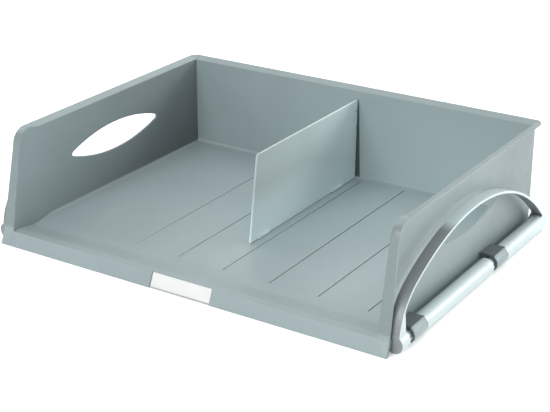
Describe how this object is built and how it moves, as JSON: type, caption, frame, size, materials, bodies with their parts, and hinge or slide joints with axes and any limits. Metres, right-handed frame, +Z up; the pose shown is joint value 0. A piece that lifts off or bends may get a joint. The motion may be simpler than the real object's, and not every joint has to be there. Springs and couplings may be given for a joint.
{
  "type": "letter tray",
  "caption": "Wide moulded desk letter tray with a low front lip, hand holes, lift-out divider, label window and arched frames hinged along the sides.",
  "frame": {"origin": "centre of the footprint at desk level", "axes": "+X to the right across the front, +Y from the front lip to the back wall, +Z up"},
  "size_m": [0.512, 0.369, 0.128],
  "materials": {
    "tray_plastic": "satin moulded polystyrene, blue-grey",
    "divider_plastic": "satin moulded polystyrene, blue-grey",
    "label_paper": "plain white card",
    "label_window": "clear moulded plastic",
    "frame_plastic": "semi-gloss moulded plastic, blue-grey"
  },
  "bodies": {
    "tray": {"tray_body": "tray_plastic", "label_cover": "label_window"},
    "divider": {"divider": "divider_plastic"},
    "label_card": {"label_card": "label_paper"},
    "frame_right": {"stacking_frame_right": "frame_plastic"},
    "frame_left": {"stacking_frame_left": "frame_plastic"}
  },
  "joints": [
    {"name": "frame_right_swing", "type": "hinge", "parent": "tray", "child": "frame_right", "pos_m": [0.2465, 0, 0.0102], "axis": [0, 1, 0], "range_deg": [0, 90]},
    {"name": "frame_left_swing", "type": "hinge", "parent": "tray", "child": "frame_left", "pos_m": [-0.2465, 0, 0.0102], "axis": [0, -1, 0], "range_deg": [0, 90]},
    {"name": "divider_lift", "type": "slide", "parent": "tray", "child": "divider", "axis": [0, 0, 1], "range_m": [0, 0.006]},
    {"name": "label_card_slide", "type": "slide", "parent": "tray", "child": "label_card", "axis": [0, 0.3867, 0.9222], "range_m": [0, 0.016]}
  ]
}
